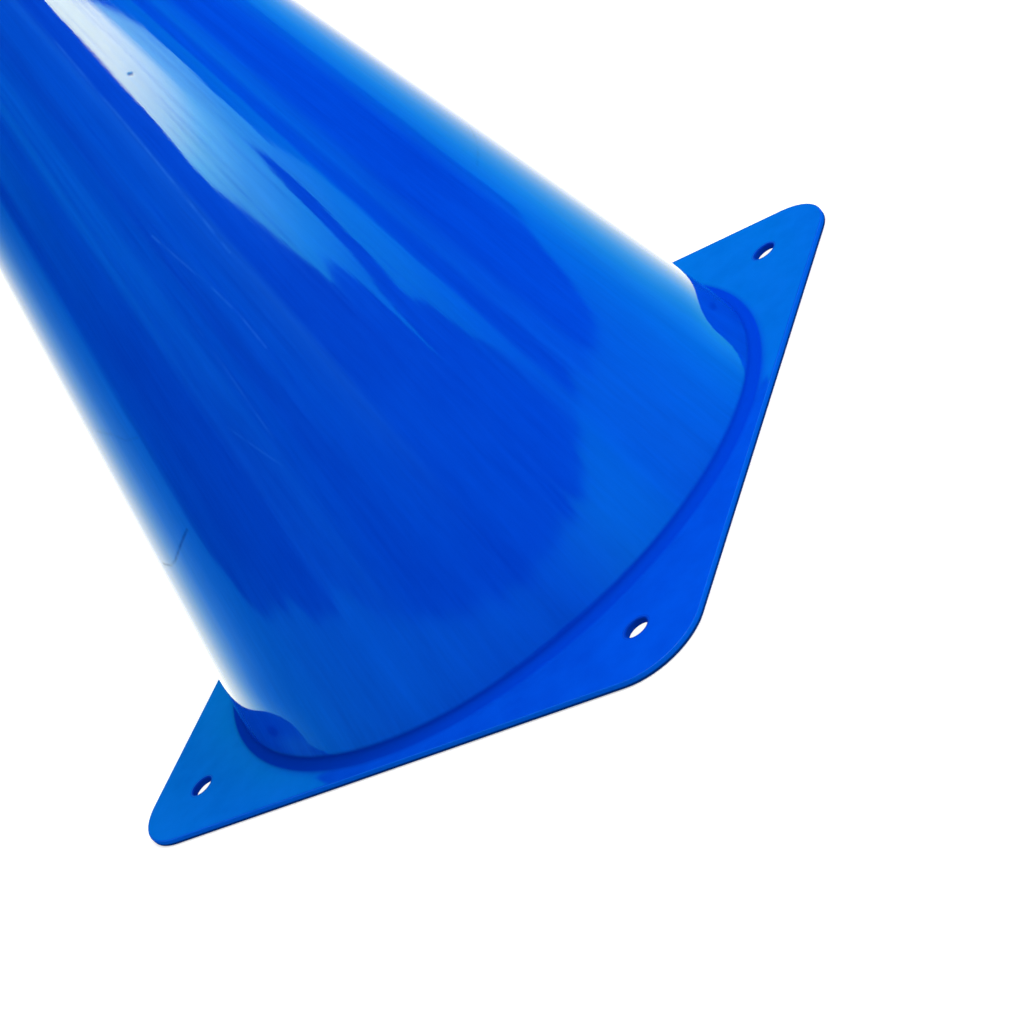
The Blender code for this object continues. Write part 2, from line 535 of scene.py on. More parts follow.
moulding = bpy.data.objects.new("cone_moulding", moulding_mesh())
moulding.data.materials.clear()
moulding.data.materials.append(blue_plastic)
bpy.context.scene.collection.objects.link(moulding)

# %% [markdown]
# ## The plastic
#
# The plastic is dyed through, so its own colour is one deep blue with only faint clouds and flow
# lines in it. Painted light is laid on top: painted shade deepens the ring at the foot on its
# left, the foot of the plate's side, the peg holes and the creases, and a painted highlight
# lightens the top of the plate's side. Beyond that the gloss varies: the wall is polished, with
# fine lengthwise lines from the mould and from other cones that were stacked on it, and the
# plate is a little duller.
# The ring at the foot, the trimmed side of the plate, the peg holes, the underside and the
# inside are made matt. At the foot that follows the photograph, and for the underside and the
# inside it is a guess. Each is a mask, 1 on its place and 0 elsewhere, worked out from the same
# sizes as the mesh.
#
# All patterns read the object's own coordinates. For the lengthwise lines the position is
# first drawn out to the unit circle, so that they run straight up the taper without a seam.

# %% Shader helpers
def noise_node(tree, vector, scale, detail=2.0, roughness=0.5):
    node = tree.nodes.new("ShaderNodeTexNoise")
    node.inputs["Scale"].default_value = scale
    node.inputs["Detail"].default_value = detail
    node.inputs["Roughness"].default_value = roughness
    link(tree, vector, node.inputs["Vector"])
    return node.outputs[0]


def colour_mix(tree, factor, first, second):
    node = tree.nodes.new("ShaderNodeMix")
    node.data_type = "RGBA"
    link(tree, factor, node.inputs["Factor"])
    for socket, value in zip((node.inputs[6], node.inputs[7]), (first, second)):
        if isinstance(value, bpy.types.NodeSocket):
            link(tree, value, socket)
        else:
            socket.default_value = value
    return node.outputs[2]


def number_mix(tree, factor, first, second):
    return plus(tree, times(tree, factor, second), times(tree, minus(tree, 1.0, factor), first))


# %% Blues and glosses
BLUE_DEEP = (0.0, 0.050, 0.63, 1.0)
BLUE_CLEAR = (0.0, 0.078, 0.77, 1.0)
PLATE_BLUE = (0.0, 0.062, 0.61, 1.0)
PLATE_CLEAR = (0.0, 0.086, 0.71, 1.0)
RING_BLUE = (0.0, 0.050, 0.60, 1.0)
# Painted shade: the ring at the foot is drawn deeper blue on its left.
RING_PAINTED_SHADE = (0.0, 0.036, 0.43, 1.0)
# The plate's trimmed side is painted: a lighter blue for a highlight at its top, near black for shade at its
# foot.
SIDE_PAINTED_HIGHLIGHT = (0.0, 0.110, 0.72, 1.0)
EDGE_PAINTED_SHADE = (0.0, 0.030, 0.20, 1.0)
# Painted shade in the peg holes.
BORE_PAINTED_SHADE = (0.0, 0.044, 0.47, 1.0)
# Painted shade along the creases.
CREASE_PAINTED_SHADE = (0.0, 0.015, 0.22, 1.0)
SCRATCH_BLUE = (0.02, 0.16, 0.85, 1.0)
WALL_GLOSS = 0.03
PLATE_GLOSS = 0.08
EDGE_GLOSS = 0.4
SHINE = 0.5
DULL_SHINE = 0.0
REFRACTION = 1.54
print("gloss of wall and plate:", WALL_GLOSS, PLATE_GLOSS)

# %% Where each spot lies
SIDE_DEPTH = (0.3 * MM, 0.1 * MM)
BORE_REACH = (0.1 * MM, 0.9 * MM)
WALL_START = (0.3 * MM, 2 * MM)
RING_START = (0.02 * MM, 0.12 * MM)
RING_FADE = 1 * MM
UNDERSIDE = (0.3 * MM, 0.05 * MM)
INSIDE_DEPTH = (0.5 * MM, 0.8 * MM)
# Heights over which the painted shade at the foot of the plate's side fades out.
SIDE_SHADE_HEIGHTS = (0.5 * MM, 0.75 * MM)
RIGHT_HAND = math.radians(40)
# How far the ring's painted shade reaches, as shares of the half side.
RING_SHADE_REACH = (-0.9, -0.1)


def outside_node(tree, value, reach):
    """How far the absolute value of a coordinate lies beyond a reach, or zero."""
    beyond = minus(tree, math_node(tree, "ABSOLUTE", value), reach)
    return math_node(tree, "MAXIMUM", beyond, 0.0)


def length_node(tree, x, y):
    return math_node(tree, "SQRT", plus(tree, times(tree, x, x), times(tree, y, y)))


def trimmed_side(tree, x, y):
    """1 on the outer edge of the plate, 0 elsewhere."""
    straight = HALF_SIDE - CORNER_RADIUS
    from_centre = length_node(tree, outside_node(tree, x, straight), outside_node(tree, y, straight))
    start, full = (CORNER_RADIUS - depth for depth in SIDE_DEPTH)
    return range_node(tree, from_centre, start, full, 0.0, 1.0)


def peg_bores(tree, x, y):
    """1 in the peg holes, fading to 0 a little way round them; it makes them matt and carries their painted
    shade.
    """
    to_hole_x = minus(tree, math_node(tree, "ABSOLUTE", x), HOLE_REACH)
    to_hole_y = minus(tree, math_node(tree, "ABSOLUTE", y), HOLE_REACH)
    to_hole = length_node(tree, to_hole_x, to_hole_y)
    full, end = (PEG_HOLE_RADIUS + reach for reach in BORE_REACH)
    return range_node(tree, to_hole, full, end, 1.0, 0.0, smooth=True)


def foot_ring(tree, z):
    """1 on the flare at the foot, fading out up the wall."""
    above_plate = range_node(tree, z, PLATE + RING_START[0], PLATE + RING_START[1], 0.0, 1.0)
    flare_top = PLATE + FLARE_UP
    below_wall = range_node(tree, z, flare_top, flare_top + RING_FADE, 1.0, 0.0, smooth=True)
    return times(tree, above_plate, below_wall)


def unpolished(tree, radius, z):
    """1 on the underside and on the inner face of the wall, which are made matt."""
    full, end = (PLATE - depth for depth in UNDERSIDE)
    underside = range_node(tree, z, full, end, 1.0, 0.0)
    outer_face = minus(tree, wall_radius(0), times(tree, z, math.tan(LEAN)))
    inside = range_node(tree, minus(tree, outer_face, radius), *INSIDE_DEPTH, 0.0, 1.0)
    return strongest(tree, underside, inside)


def ring_colour_with_painted_shade(tree, x, y):
    """The ring's blue, with painted shade that deepens it on the left, away from the lamps."""
    sideways = plus(tree, times(tree, x, math.cos(RIGHT_HAND)), times(tree, y, math.sin(RIGHT_HAND)))
    start, full = (share * HALF_SIDE for share in RING_SHADE_REACH)
    to_right = range_node(tree, sideways, start, full, 0.0, 1.0, smooth=True)
    return colour_mix(tree, to_right, RING_PAINTED_SHADE, RING_BLUE)


# %% [markdown]
# A cone that has been stacked and thrown shows it. There are hairline creases where the thin
# wall was once pinched, dented a little and darkened with painted shade, and a few long light
# scratches. Each is a list of spots on the wall, (degrees round the axis, millimetres up), joined
# by straight strokes, with a depth before it.

# %% Creases and scratches
CREASES = [
    (0.8, [(-126, 44.4), (-121, 44.7), (-117.3, 45.9), (-113.7, 47.8), (-109.6, 50.0), (-105.5, 52.0)]),
    (0.3, [(-121, 73.2), (-113, 72.4), (-109, 70.9), (-104, 70.8)]),
    (0.3, [(10, 65.7), (20, 66.6), (29, 68.2)]),
    (0.7, [(-41.6, 121.3), (-41.1, 121.1)]),
]
SCRATCHES = [
    (1.0, [(-51.8, 134), (-52.4, 112), (-53.6, 89)]),
    (1.0, [(-66.0, 99), (-62.4, 87), (-61.2, 80), (-61.2, 73)]),
    (0.6, [(-71.0, 84), (-72.2, 60)]),
    (0.6, [(-79.5, 66), (-74.0, 55)]),
]
STROKE_WIDTH = 0.45 * MM
SCRATCH_WIDTH = 0.8 * STROKE_WIDTH
STROKE_CORE_SHARE = 0.2


def stroke(tree, angle, level, start, end, width):
    """1 along a straight stroke on the wall, fading to 0 at its width."""
    reach = wall_radius((start[1] + end[1]) / 2 * MM)
    along = (math.radians(end[0] - start[0]) * reach, (end[1] - start[1]) * MM)
    square = along[0] ** 2 + along[1] ** 2
    across = times(tree, minus(tree, angle, math.radians(start[0])), reach)
    up = minus(tree, level, start[1] * MM)
    share = plus(tree, times(tree, across, along[0] / square), times(tree, up, along[1] / square))
    share = math_node(tree, "MINIMUM", math_node(tree, "MAXIMUM", share, 0.0), 1.0)
    off_x = minus(tree, across, times(tree, share, along[0]))
    off_y = minus(tree, up, times(tree, share, along[1]))
    return range_node(tree, length_node(tree, off_x, off_y), STROKE_CORE_SHARE * width, width, 1.0, 0.0)


def strokes(tree, angle, level, lines, width):
    """The strongest of all strokes of some lines at each spot."""
    total = 0.0
    for depth, line in lines:
        for start, end in zip(line, line[1:]):
            drawn = times(tree, stroke(tree, angle, level, start, end, width), depth)
            total = math_node(tree, "MAXIMUM", drawn, total)
    return total


# %% [markdown]
# The finish joins these parts. Noise draws the patterns: broad and fine lengthwise lines, soft
# clouds and small scuffs. They tint the blue, vary the gloss and lift the surface by about two
# hundredths of a millimetre, while the masks choose what shows where.

# %% Patterns in the plastic
LINES_UP = 1.6
BROAD_LINES = (9.0, 3.0, 0.55)
FINE_LINES = (70.0, 2.0, 0.6)
CLOUDS = (22.0, 3.0)
SCUFFS = (160.0, 4.0, 0.6)
BREAKS = (300.0,)
CONTRAST = (0.35, 0.65)
GLOSS_CONTRAST = (0.35, 0.75)
BREAK_CONTRAST = (0.35, 0.6)
TONE_SHARES = (0.45, 0.3, 0.25)
MOTTLE_SHARES = (0.5, 0.5)
UNBROKEN_SHARE = 0.4
CREASE_SHADE_STRENGTH = 0.75
SCRATCH_STRENGTH = 0.35
WALL_GLOSS_SPREAD = 0.04
PLATE_GLOSS_SPREAD = 0.08
LINE_HEIGHT_SHARE = 0.2
CREASE_DEPTH_SHARE = 0.7
BUMP_HEIGHT = 0.02 * MM


def plastic_patterns(tree, place, x, y, z, radius):
    """Broad lines, fine lines, clouds and scuffs, each a noise between 0 and 1."""
    round_x = math_node(tree, "DIVIDE", x, radius)
    round_y = math_node(tree, "DIVIDE", y, radius)
    lines_at = combine(tree, round_x, round_y, times(tree, z, LINES_UP))
    return (noise_node(tree, lines_at, *BROAD_LINES), noise_node(tree, lines_at, *FINE_LINES),
            noise_node(tree, place, *CLOUDS), noise_node(tree, place, *SCUFFS))


def shared_tone(tree, patterns, shares):
    """A share of each pattern added up and spread over 0 to 1."""
    total = plus(tree, *(times(tree, pattern, share) for pattern, share in zip(patterns, shares)))
    return range_node(tree, total, *CONTRAST, 0.0, 1.0)


def worn_marks_and_crease_shade(tree, place, x, y, z):
    """Creases, which carry painted shade, and scratches, both a little broken."""
    angle = math_node(tree, "ARCTAN2", y, x)
    broken = range_node(tree, noise_node(tree, place, *BREAKS), *BREAK_CONTRAST, 0.0, 1.0)
    partly = plus(tree, times(tree, broken, 1 - UNBROKEN_SHARE), UNBROKEN_SHARE)
    creases = times(tree, strokes(tree, angle, z, CREASES, STROKE_WIDTH), partly)
    scratches = times(tree, strokes(tree, angle, z, SCRATCHES, SCRATCH_WIDTH), broken)
    return creases, scratches


# %% The finish
def finish_plastic(material):
    tree = material.node_tree
    nodes = tree.nodes
    shader = nodes["Principled BSDF"]
    shader.inputs["IOR"].default_value = REFRACTION
    place = nodes.new("ShaderNodeTexCoord").outputs["Object"]
    split = nodes.new("ShaderNodeSeparateXYZ")
    link(tree, place, split.inputs[0])
    x, y, z = split.outputs
    radius = length_node(tree, x, y)

    wall_start, wall_full = (PLATE + rise for rise in WALL_START)
    on_wall = range_node(tree, z, wall_start, wall_full, 0.0, 1.0, smooth=True)
    side = trimmed_side(tree, x, y)
    bores = peg_bores(tree, x, y)
    ring = foot_ring(tree, z)
    edges = strongest(tree, side, bores)
    creases, scratches = worn_marks_and_crease_shade(tree, place, x, y, z)
    broad_lines, fine_lines, clouds, scuffs = plastic_patterns(tree, place, x, y, z, radius)

    wall_tone = shared_tone(tree, (broad_lines, clouds, fine_lines), TONE_SHARES)
    plate_tone = shared_tone(tree, (clouds, scuffs), MOTTLE_SHARES)
    colour = colour_mix(tree, on_wall, colour_mix(tree, plate_tone, PLATE_BLUE, PLATE_CLEAR),
                        colour_mix(tree, wall_tone, BLUE_DEEP, BLUE_CLEAR))
    # Painted shade on the ring at the foot, deepest on its left.
    colour = colour_mix(tree, ring, colour, ring_colour_with_painted_shade(tree, x, y))
    # Painted highlight on the top of the plate's side, turning to painted shade towards the floor.
    low = range_node(tree, z, *SIDE_SHADE_HEIGHTS, 1.0, 0.0)
    colour = colour_mix(tree, side, colour, colour_mix(tree, low, SIDE_PAINTED_HIGHLIGHT, EDGE_PAINTED_SHADE))
    # Painted shade in the peg holes.
    colour = colour_mix(tree, bores, colour, BORE_PAINTED_SHADE)
    # Painted shade along the creases.
    colour = colour_mix(tree, times(tree, creases, CREASE_SHADE_STRENGTH), colour, CREASE_PAINTED_SHADE)
    colour = colour_mix(tree, times(tree, scratches, SCRATCH_STRENGTH), colour, SCRATCH_BLUE)
    link(tree, colour, shader.inputs["Base Color"])

    wall_gloss = range_node(tree, fine_lines, *GLOSS_CONTRAST, WALL_GLOSS, WALL_GLOSS + WALL_GLOSS_SPREAD)
    plate_gloss = range_node(tree, scuffs, *GLOSS_CONTRAST, PLATE_GLOSS, PLATE_GLOSS + PLATE_GLOSS_SPREAD)
    gloss = number_mix(tree, on_wall, plate_gloss, wall_gloss)
    link(tree, number_mix(tree, edges, gloss, EDGE_GLOSS), shader.inputs["Roughness"])
    dull = strongest(tree, ring, edges, creases, unpolished(tree, radius, z))
    link(tree, number_mix(tree, dull, SHINE, DULL_SHINE), shader.inputs["Specular IOR Level"])

    bump = nodes.new("ShaderNodeBump")
    bump.inputs["Strength"].default_value = 1.0
    bump.inputs["Distance"].default_value = BUMP_HEIGHT
    lines = plus(tree, broad_lines, times(tree, fine_lines, LINE_HEIGHT_SHARE))
    height = minus(tree, times(tree, lines, on_wall), times(tree, creases, CREASE_DEPTH_SHARE))
    link(tree, height, bump.inputs["Height"])
    link(tree, bump.outputs[0], shader.inputs["Normal"])
    print("plastic nodes:", len(nodes))


finish_plastic(blue_plastic)

# %% [markdown]
# ## Floor
#
# The floor is a plain white sheet. To the camera it shows as full white, and it still takes a
# soft shadow. Seen from below it is clear, and it is cut away under the plate, so that the
# underside and the inside can be looked at and get some light. The gloss doesn't mirror this
# sheet. What it mirrors is painted on the room further on, the white floor included, because
# there its brightness can fall off towards the sides.

# %% The floor
FLOOR_REACH = 8.0
FLOOR_STEPS = 96
FLOOR_DROP = 0.05 * MM
FLOOR_CUT_INSET = 1 * MM
FLOOR_GREY = (0.8, 0.8, 0.8, 1.0)
FLOOR_GLOW = 0.45


def make_floor():
    shape = bmesh.new()
    edges = close_ring(shape, add_ring(shape, square_outline(FLOOR_CUT_INSET), -FLOOR_DROP))
    rim = arc((0, 0), FLOOR_REACH, 0, 360, FLOOR_STEPS)[:-1]
    edges += close_ring(shape, add_ring(shape, rim, -FLOOR_DROP))
    bmesh.ops.triangle_fill(shape, use_beauty=True, edges=edges, normal=(0, 0, 1))
    for face in shape.faces:
        if face.normal.z < 0:
            face.normal_flip()
    mesh = bpy.data.meshes.new("studio_floor")
    shape.to_mesh(mesh)
    shape.free()
    floor = bpy.data.objects.new("studio_floor", mesh)
    bpy.context.scene.collection.objects.link(floor)
    floor.visible_glossy = False
    material = bpy.data.materials.new("white_sheet")
    material.use_nodes = True
    tree = material.node_tree
    tree.nodes.clear()
    matt = tree.nodes.new("ShaderNodeBsdfDiffuse")
    matt.inputs["Color"].default_value = FLOOR_GREY
    path = tree.nodes.new("ShaderNodeLightPath").outputs
    seen = plus(tree, path["Is Camera Ray"], path["Is Glossy Ray"], path["Is Transmission Ray"])
    glow = tree.nodes.new("ShaderNodeEmission")
    link(tree, times(tree, seen, FLOOR_GLOW), glow.inputs["Strength"])
    both = tree.nodes.new("ShaderNodeAddShader")
    link(tree, matt.outputs[0], both.inputs[0])
    link(tree, glow.outputs[0], both.inputs[1])
    clear = tree.nodes.new("ShaderNodeBsdfTransparent")
    facing = tree.nodes.new("ShaderNodeNewGeometry")
    choose = tree.nodes.new("ShaderNodeMixShader")
    link(tree, facing.outputs["Backfacing"], choose.inputs[0])
    link(tree, both.outputs[0], choose.inputs[1])
    link(tree, clear.outputs[0], choose.inputs[2])
    result = tree.nodes.new("ShaderNodeOutputMaterial")
    link(tree, choose.outputs[0], result.inputs["Surface"])
    floor.data.materials.append(material)
    return floor


studio_floor = make_floor()
print("floor reach in m:", FLOOR_REACH, "faces:", len(studio_floor.data.polygons))

# %% [markdown]
# ## Directions in the room
#
# Polished plastic is a mirror, so the room is drawn as it is seen from the cone, by direction:
# a bearing, counted from the photographer's side with its right-hand side positive, and an
# elevation above the floor, both in degrees. One helper turns such a pair into a direction,
# and another works the pair out in a shader.

# %% Bearing and elevation
PHOTOGRAPHER_AZIMUTH = -50.0


def compass(azimuth, elevation):
    """Unit direction from the cone: azimuth counter-clockwise from +X, in degrees."""
    a, e = math.radians(azimuth), math.radians(elevation)
    return Vector((math.cos(a) * math.cos(e), math.sin(a) * math.cos(e), math.sin(e)))


def towards(bearing, elevation):
    return compass(PHOTOGRAPHER_AZIMUTH + bearing, elevation)


def dot_node(tree, direction, axis):
    node = tree.nodes.new("ShaderNodeVectorMath")
    node.operation = "DOT_PRODUCT"
    link(tree, direction, node.inputs[0])
    node.inputs[1].default_value = axis
    return node.outputs["Value"]


def room_angles(tree, direction):
    """Bearing and elevation, in degrees, of a direction in a shader."""
    to_front = dot_node(tree, direction, towards(0, 0))
    to_right = dot_node(tree, direction, towards(90, 0))
    up = dot_node(tree, direction, towards(0, 90))
    level = length_node(tree, to_front, to_right)
    bearing = math_node(tree, "DEGREES", math_node(tree, "ARCTAN2", to_right, to_front))
    elevation = math_node(tree, "DEGREES", math_node(tree, "ARCTAN2", up, level))
    return bearing, elevation


def scale_node(tree, colour, factor):
    node = tree.nodes.new("ShaderNodeVectorMath")
    node.operation = "SCALE"
    link(tree, colour, node.inputs[0])
    if isinstance(factor, bpy.types.NodeSocket):
        link(tree, factor, node.inputs["Scale"])
    else:
        node.inputs["Scale"].default_value = factor
    return node.outputs["Vector"]


def ramp_node(tree, value, stops):
    """A colour that follows a value, blended between stops of (value, red, green, blue)."""
    first, last = stops[0][0], stops[-1][0]
    brightest = max(max(colour) for at, *colour in stops)
    node = tree.nodes.new("ShaderNodeValToRGB")
    elements = node.color_ramp.elements
    elements.remove(elements[-1])
    for number, (at, *colour) in enumerate(stops):
        position = (at - first) / (last - first)
        element = elements.new(position) if number else elements[0]
        element.position = position
        element.color = (*(channel / brightest for channel in colour), 1.0)
    link(tree, range_node(tree, value, first, last, 0.0, 1.0), node.inputs[0])
    return scale_node(tree, node.outputs["Color"], brightest)


# %% [markdown]
# ## The room
#
# The world gives two things. To the plastic's dye it is a plain grey light from all round. To
# its gloss it is a room: a white backdrop behind the cone, a cool pale floor in front and at
# the sides, and above that a dark room with a few dim upright panels. The edge between pale
# floor and dark room stands highest in front, where the photographer is. It draws the deep
# blue tongue with a clear edge down the front of the wall.
#
# The panels are finely streaked up and down, so the long flashes on the wall look brushed. Far
# below, the floor of the room is dark, so that the wall doesn't mirror a white sheet when it is
# looked at from underneath.

# %% Where the pale floor ends and what stands above it, by bearing
HORIZON = [
    # bearing, elevation of the edge
    (-180, -1), (-146, -1), (-128, 5), (-114, 9), (-108, -3.0), (-98, -3.2), (-90, -1.2), (-80, 0.2),
    (-68, 1.4), (-61, 3.0), (-49, 3.1), (-36, 3.9), (-18, 4.6), (15, 4.8), (33, 4.4), (53, 3.8),
    (63, 3.0), (68, 1.8), (80, 0.6), (92, -0.9), (106, -1.6), (111, -2.6), (118, 8), (128, 5), (146, -1),
    (180, -1),
]
PALE_FLOOR = [
    # bearing, red, green, blue
    (-180, 1.9, 1.95, 1.6), (-155, 1.9, 2.0, 1.6), (-145, 1.45, 1.85, 1.5), (-135, 0.7, 1.5, 1.45),
    (-125, 0.2, 1.0, 1.4), (-115, 0.05, 0.75, 1.3), (-105, 0.01, 0.65, 1.15), (-50, 0.01, 0.58, 1.15),
    (-30, 0.01, 0.5, 0.9), (5, 0.01, 0.55, 0.9), (18, 0.02, 1.0, 1.2), (28, 0.02, 1.3, 1.3),
    (46, 0.01, 1.2, 1.2), (54, 0.01, 0.75, 0.8), (66, 0.02, 0.85, 1.1), (80, 0.01, 0.73, 0.6),
    (92, 0.01, 0.85, 1.0), (110, 0.01, 0.95, 0.95), (125, 0.07, 1.35, 0.95), (135, 0.3, 1.45, 0.95),
    (145, 0.9, 1.55, 0.9), (155, 1.6, 1.75, 1.2), (165, 1.75, 1.8, 1.4), (180, 1.9, 1.95, 1.6),
]
UPPER_PANELS = [
    # bearing, red, green, blue
    (-180, 0.0, 0.68, 0.7), (-168, 0.0, 0.68, 0.7), (-160, 0.0, 0.1, 0.1), (-106, 0.0, 0.1, 0.2),
    (-100, 0.0, 0.15, 0.3), (-97, 0.01, 1.1, 1.9), (-82, 0.0, 0.5, 1.0), (-77, 0.0, 0.25, 0.5),
    (-70, 0.0, 0.4, 0.9), (-67, 0.01, 0.9, 1.8), (-52, 0.01, 0.75, 1.5), (-41, 0.0, 0.45, 0.8),
    (-37, 0.01, 0.25, 0.3), (-18, 0.01, 0.45, 0.8), (-6, 0.06, 0.65, 0.8), (-3, 0.01, 0.05, 0.0),
    (41.5, 0.01, 0.05, 0.0), (43.5, 0.01, 1.2, 1.1), (53, 0.01, 1.2, 0.9), (55, 0.0, 0.2, 0.1),
    (60, 0.0, 0.25, 0.2), (62, 0.01, 0.8, 0.8), (70, 0.02, 1.15, 1.2), (75, 0.0, 0.05, 0.0),
    (95, 0.0, 0.05, 0.0), (99, 0.01, 0.6, 0.4), (112, 0.01, 0.72, 0.5), (118, 0.0, 0.2, 0.2),
    (160, 0.0, 0.1, 0.1), (168, 0.0, 0.68, 0.7), (180, 0.0, 0.68, 0.7),
]
LOWER_PANELS = [
    # bearing, red, green, blue
    (-180, 0.0, 0.1, 0.1), (-140, 0.0, 0.1, 0.1), (-125, 0.05, 0.9, 1.2), (-114, 0.05, 0.9, 1.2),
    (-110, 0.02, 0.6, 1.0), (-105, 0.0, 0.1, 0.0), (-69, 0.0, 0.0, 0.0), (-65, 0.01, 0.22, 0.6),
    (-50, 0.01, 0.3, 0.6), (-44, 0.0, 0.1, 0.2), (-38, 0.0, 0.0, 0.0), (45, 0.0, 0.0, 0.0),
    (48, 0.01, 0.4, 0.5), (53, 0.01, 0.4, 0.4), (56, 0.0, 0.0, 0.0), (60, 0.0, 0.0, 0.0),
    (63, 0.01, 0.42, 0.7), (70, 0.01, 0.4, 0.7), (74, 0.0, 0.0, 0.0), (94, 0.0, 0.0, 0.0),
    (102, 0.0, 0.02, 0.0), (106, 0.01, 0.25, 0.2), (112, 0.01, 0.55, 0.4), (125, 0.01, 0.7, 0.4),
    (140, 0.0, 0.1, 0.1), (180, 0.0, 0.1, 0.1),
]
PANELS_FADE = (5.0, 15.0)
print("room edge stands from", min(level for at, level in HORIZON), "to",
      max(level for at, level in HORIZON), "degrees")

# %% How the room blends
SOFT_LIGHT = 0.41
STREAKS_PER_DEGREE = 0.35
STREAKS_UP_PER_DEGREE = 0.02
STREAK_CONTRAST = (0.3, 0.7)
STREAK_RANGE = (0.55, 1.45)
STREAK_NOISE = (1.0, 3.0, 0.6)
FLOOR_SHADE = (-36.0, -27.0)
SHADED_FLOOR = 0.08
CEILING = (0.0, 0.08, 0.12, 1.0)
CEILING_FADE = (25.0, 34.0)
HORIZON_BLUR = 0.25
HORIZON_WOBBLE = 0.8
HORIZON_NOISE = (9.0, 3.0)
HORIZON_LIFT = 10.0


def fine_streaks(tree, bearing, elevation, per_degree, up_per_degree, noise):
    """Noise drawn out up and down, by bearing and elevation."""
    place = combine(tree, times(tree, bearing, per_degree), 0.0, times(tree, elevation, up_per_degree))
    return noise_node(tree, place, *noise)


def horizon_node(tree, direction, bearing):
    """Elevation of the pale floor's edge. A colour can't go below zero, so it is lifted and put back."""
    stops = [(at,) + (level + HORIZON_LIFT,) * 3 for at, level in HORIZON]
    edge = minus(tree, dot_node(tree, ramp_node(tree, bearing, stops), (1, 0, 0)), HORIZON_LIFT)
    wobble = minus(tree, noise_node(tree, direction, *HORIZON_NOISE), 0.5)
    return plus(tree, edge, times(tree, wobble, 2 * HORIZON_WOBBLE))


# %% The world
def gloss_room(tree, direction):
    """Colour of the room in a direction, as the gloss mirrors it."""
    bearing, elevation = room_angles(tree, direction)
    raised = range_node(tree, elevation, *PANELS_FADE, 0.0, 1.0, smooth=True)
    panels = colour_mix(tree, raised, ramp_node(tree, bearing, LOWER_PANELS),
                        ramp_node(tree, bearing, UPPER_PANELS))
    streaks = fine_streaks(tree, bearing, elevation, STREAKS_PER_DEGREE, STREAKS_UP_PER_DEGREE, STREAK_NOISE)
    panels = scale_node(tree, panels, range_node(tree, streaks, *STREAK_CONTRAST, *STREAK_RANGE))
    ceiling = range_node(tree, elevation, *CEILING_FADE, 0.0, 1.0, smooth=True)
    panels = colour_mix(tree, ceiling, panels, CEILING)
    above = minus(tree, elevation, horizon_node(tree, direction, bearing))
    pale = range_node(tree, above, -HORIZON_BLUR, HORIZON_BLUR, 1.0, 0.0, smooth=True)
    floor = scale_node(tree, ramp_node(tree, bearing, PALE_FLOOR),
                       range_node(tree, elevation, *FLOOR_SHADE, SHADED_FLOOR, 1.0, smooth=True))
    return colour_mix(tree, pale, panels, floor)


def make_room():
    world = bpy.data.worlds.new("studio_room")
    bpy.context.scene.world = world
    world.use_nodes = True
    tree = world.node_tree
    direction = tree.nodes.new("ShaderNodeTexCoord").outputs["Generated"]
    path = tree.nodes.new("ShaderNodeLightPath").outputs
    grey = (SOFT_LIGHT, SOFT_LIGHT, SOFT_LIGHT, 1)
    light = colour_mix(tree, path["Is Glossy Ray"], grey, gloss_room(tree, direction))
    seen = plus(tree, path["Is Camera Ray"], path["Is Transmission Ray"])
    link(tree, colour_mix(tree, seen, light, (1, 1, 1, 1)), tree.nodes["Background"].inputs["Color"])


make_room()
print("soft light from all round:", SOFT_LIGHT)

# %% [markdown]
# ## Lamps
#
# One wide softbox overhead gives the even light, and one on the right makes that side of the
# wall clearer than the left one. The gloss doesn't mirror them, because the room is painted.

# %% The softboxes
def soft_lamp(name, position, size, brightness):
    """A square lamp facing the cone, as bright as a white sheet lit to that level."""
    data = bpy.data.lights.new(name, "AREA")
    data.shape = "SQUARE"
    data.size = size
    data.energy = brightness * math.pi * size * size
    lamp = bpy.data.objects.new(name, data)
    lamp.location = position
    lamp.rotation_euler = Vector(position).to_track_quat("Z", "Y").to_euler()
    lamp.visible_glossy = False
    bpy.context.scene.collection.objects.link(lamp)
    return lamp


# name, place in metres, side in metres, brightness
SOFTBOXES = [
    ("overhead_softbox", (0.10, 0.15, 1.5), 1.5, 2.1),
    ("right_softbox", (1.1, 0.25, 1.2), 0.9, 4.1),
]
for softbox in SOFTBOXES:
    print("lamp:", soft_lamp(*softbox).name)

# %% [markdown]
# ## The window in the gloss
#
# A bright window stands high to the right of the photographer. The wall stretches it into the
# long white flash. Its outline is given by bearing and elevation too. It is far off, so all of
# the wall sees it in the same direction, and only gloss sees it. It is white at the top and
# turns to a cool blue further down and to its right, where something outside it stands in the
# light. Faint upright bands, as of a blind, run through it.

# %% Window cards
WINDOW_DISTANCE = 40.0
WINDOW_SIDE = (31.0, 36.5)
BLIND_PER_DEGREE = 0.9
BLIND_UP_PER_DEGREE = 0.15
BLIND_CONTRAST = (0.3, 0.5)
BLIND_RANGE = (0.65, 1.05)
BLIND_NOISE = (1.0, 2.0, 0.6)


